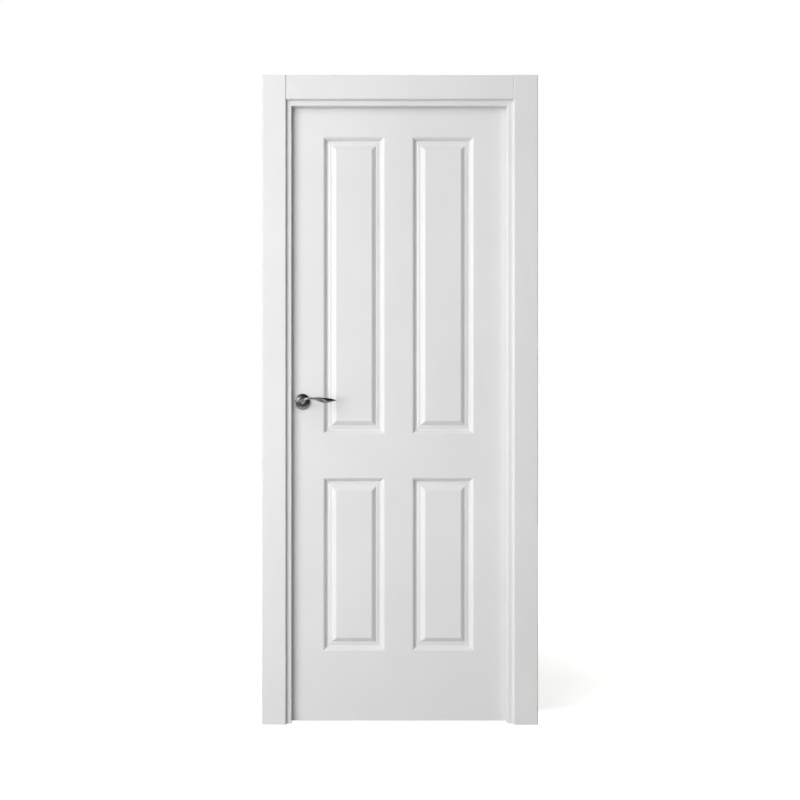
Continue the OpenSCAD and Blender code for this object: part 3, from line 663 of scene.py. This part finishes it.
def screws(node, size, way):
    """Screws in place of a CAD node's. Each enters along X, the way that way gives for its box."""
    boxes = islands(node)
    ways = [way(low, high) for low, high in boxes]
    heads = []
    for (low, high), sign in zip(boxes, ways):
        heads.append(((low.x if sign > 0 else high.x), (low.y + high.y) / 2, (low.z + high.z) / 2))
    mesh = bpy.data.meshes.new(node + "_heads")
    mesh.from_pydata(heads, [], [])
    axis = mesh.attributes.new("axis", "FLOAT_VECTOR", "POINT")
    for i, sign in enumerate(ways):
        axis.data[i].vector = (sign, 0, 0)
    carrier = bpy.data.objects.new(node + "_carrier", mesh)
    bpy.context.scene.collection.objects.link(carrier)
    modifier = carrier.modifiers.new("screws", "NODES")
    modifier.node_group = SCREWS
    length = boxes[0][1].x - boxes[0][0].x
    values = {"Head Radius": size[0] * MM, "Head Height": size[1] * MM, "Shank Radius": size[2] * MM,
              "Length": length, "Tip Length": SCREW_TIP * MM, "Material": FINISHES[SLOTS[node]]}
    for item in SCREWS.interface.items_tree:
        if item.in_out == "INPUT" and item.name in values:
            modifier[item.identifier] = values[item.name]
    graph = bpy.context.evaluated_depsgraph_get()
    made = bpy.data.meshes.new_from_object(carrier.evaluated_get(graph))
    bpy.data.objects.remove(carrier)
    bm = bmesh.new()
    bm.from_mesh(made)
    return new_piece(flat_sided(bm, node), node)


screws("strike_screws", WOOD_SCREW, lambda low, high: -1)
screws("frame_hinge_screws", WOOD_SCREW, lambda low, high: 1)
screws("leaf_hinge_screws", WOOD_SCREW, lambda low, high: -1)
screws("faceplate_screws", WOOD_SCREW, lambda low, high: 1)
screws("corner_screws", LONG_SCREW, lambda low, high: 1 if low.x < 0 else -1)


# CAD nodes that no piece stands for stay as they are, with their finish
for node, solid in frame["nodes"].items():
    if not solid.hide_render:
        solid.data.materials.clear()
        solid.data.materials.append(FINISHES[SLOTS[node]])


# Studio: a pale floor, a soft light on the left, one overhead, a small one by the camera, one for the
# rear, and a surround that is brighter above. It is white for the camera. In reflections it is white
# behind the door and dim in front, and so is the floor, which is half light again further out. To the
# eye the floor glows less just behind the door, so that the shadow there shows.
FLOOR_HALF = 8.0
FLOOR_DROP = 0.2 * MM
LAMPS = (
    ("key_light", Vector((-3.0, -3.55, 1.85)), 3.6, 220.0),
    ("top_light", Vector((-1.8, -3.7, 5.6)), 2.5, 52.0),
    ("front_light", Vector((-0.58, -3.3, 1.27)), 0.3, 1.2),
    ("rear_light", Vector((2.6, 3.9, 2.2)), 3.6, 190.0),
)
LAMP_AIM = Vector((0.0, 0.0, 1.05))
SURROUND_LOW = 0.06
SURROUND_TOP = 0.50
DIM_FRONT = 0.015
FLOOR_GLOW = 0.72
FLOOR_FRONT = 0.4
BACK_FROM, BACK_TO = -0.2, 0.4
BEHIND_FROM, BEHIND_TO = -0.3, 0.5
BEFORE_FROM, BEFORE_TO = -2.4, -1.0
FLOOR_SHADED = 0.32
AROUND_FROM, AROUND_TO = 0.9, 3.0
FOOT_FROM, FOOT_TO = 0.0, 0.12


def studio_floor():
    # Painted studio floor: white to the eye, with the object's soft shadow on it, and duller in the
    # light that it gives back.
    material, tree = new_material("painted_studio_floor")
    path = add(tree, "ShaderNodeLightPath").outputs
    place = add(tree, "ShaderNodeTexCoord").outputs["Object"]
    pale = shade(tree, noise(tree, place, 0.4), "#E6E6E4", "#EAEAE8")
    paint = add(tree, "ShaderNodeBsdfDiffuse", {"Color": pale})
    dim = add(tree, "ShaderNodeBsdfDiffuse", {"Color": linear("#A0A09E")})
    base = add(tree, "ShaderNodeMixShader", {
        0: path["Is Camera Ray"], 1: dim.outputs[0], 2: paint.outputs[0],
    })
    depth = add(tree, "ShaderNodeSeparateXYZ", {0: place}).outputs["Y"]
    behind = add(tree, "ShaderNodeMapRange", {
        "Value": depth, "From Min": BEHIND_FROM, "From Max": BEHIND_TO,
        "To Min": DIM_FRONT, "To Max": FLOOR_GLOW,
    })
    before = add(tree, "ShaderNodeMapRange", {
        "Value": depth, "From Min": BEFORE_FROM, "From Max": BEFORE_TO,
        "To Min": FLOOR_FRONT, "To Max": DIM_FRONT,
    })
    far = add(tree, "ShaderNodeMath", {0: behind.outputs["Result"], 1: before.outputs["Result"]},
              operation="MAXIMUM")
    mirrored = add(tree, "ShaderNodeMath", {0: path["Is Glossy Ray"], 1: path["Is Transmission Ray"]},
                   operation="MAXIMUM")
    to_mirror = add(tree, "ShaderNodeMath", {0: mirrored.outputs[0], 1: far.outputs[0]},
                    operation="MULTIPLY")
    reach = add(tree, "ShaderNodeVectorMath", {0: place}, operation="LENGTH").outputs["Value"]
    around = add(tree, "ShaderNodeMapRange", {
        "Value": reach, "From Min": AROUND_FROM, "From Max": AROUND_TO,
        "To Min": FLOOR_SHADED, "To Max": FLOOR_GLOW,
    })
    foot = add(tree, "ShaderNodeMapRange", {
        "Value": depth, "From Min": FOOT_FROM, "From Max": FOOT_TO,
        "To Min": FLOOR_GLOW, "To Max": FLOOR_SHADED,
    })
    shown = add(tree, "ShaderNodeMath", {0: around.outputs["Result"], 1: foot.outputs["Result"]},
                operation="MAXIMUM")
    to_eye = add(tree, "ShaderNodeMath", {0: path["Is Camera Ray"], 1: shown.outputs[0]},
                 operation="MULTIPLY")
    level = add(tree, "ShaderNodeMath", {0: to_eye.outputs[0], 1: to_mirror.outputs[0]},
                operation="MAXIMUM")
    glow = add(tree, "ShaderNodeEmission", {"Strength": level.outputs[0]})
    surface = add(tree, "ShaderNodeAddShader", {0: base.outputs[0], 1: glow.outputs[0]})
    add(tree, "ShaderNodeOutputMaterial", {"Surface": surface.outputs[0]})
    return material


floor_mesh = bpy.data.meshes.new("studio_floor")
corners = [(x * FLOOR_HALF, y * FLOOR_HALF, -FLOOR_DROP)
           for x, y in ((-1, -1), (1, -1), (1, 1), (-1, 1))]
floor_mesh.from_pydata(corners, [], [(0, 1, 2, 3)])
floor_mesh.materials.append(studio_floor())
floor = bpy.data.objects.new("studio_floor", floor_mesh)
bpy.context.scene.collection.objects.link(floor)

for name, place, size, watts in LAMPS:
    lamp = bpy.data.objects.new(name, bpy.data.lights.new(name, "AREA"))
    bpy.context.scene.collection.objects.link(lamp)
    lamp.location = place
    lamp.rotation_euler = (LAMP_AIM - place).to_track_quat("-Z", "Y").to_euler()
    lamp.data.size = size
    lamp.data.energy = watts
    lamp.visible_camera = False

world = bpy.data.worlds.new("studio")
bpy.context.scene.world = world
world.use_nodes = True
sky = world.node_tree
sky.nodes.clear()
path = add(sky, "ShaderNodeLightPath").outputs
way = add(sky, "ShaderNodeSeparateXYZ", {0: add(sky, "ShaderNodeTexCoord").outputs["Generated"]})
backness = add(sky, "ShaderNodeMapRange", {
    "Value": way.outputs["Y"], "From Min": BACK_FROM, "From Max": BACK_TO,
    "To Min": DIM_FRONT, "To Max": 1.0,
})
upness = add(sky, "ShaderNodeMapRange", {
    "Value": way.outputs["Z"], "From Min": 0.0, "From Max": 1.0,
    "To Min": SURROUND_LOW, "To Max": SURROUND_TOP,
})
even = add(sky, "ShaderNodeBackground", {"Strength": upness.outputs["Result"]})
mirrored = add(sky, "ShaderNodeBackground", {"Strength": backness.outputs["Result"]})
white = add(sky, "ShaderNodeBackground", {"Strength": 1.0})
for shader in (even, mirrored, white):
    shader.inputs["Color"].default_value = (1.0, 1.0, 1.0, 1.0)
glossy = add(sky, "ShaderNodeMath", {0: path["Is Glossy Ray"], 1: path["Is Transmission Ray"]},
             operation="MAXIMUM")
lit = add(sky, "ShaderNodeMixShader", {0: glossy.outputs[0], 1: even.outputs[0], 2: mirrored.outputs[0]})
shown = add(sky, "ShaderNodeMixShader", {
    0: path["Is Camera Ray"], 1: lit.outputs[0], 2: white.outputs[0],
})
add(sky, "ShaderNodeOutputWorld", {"Surface": shown.outputs[0]})
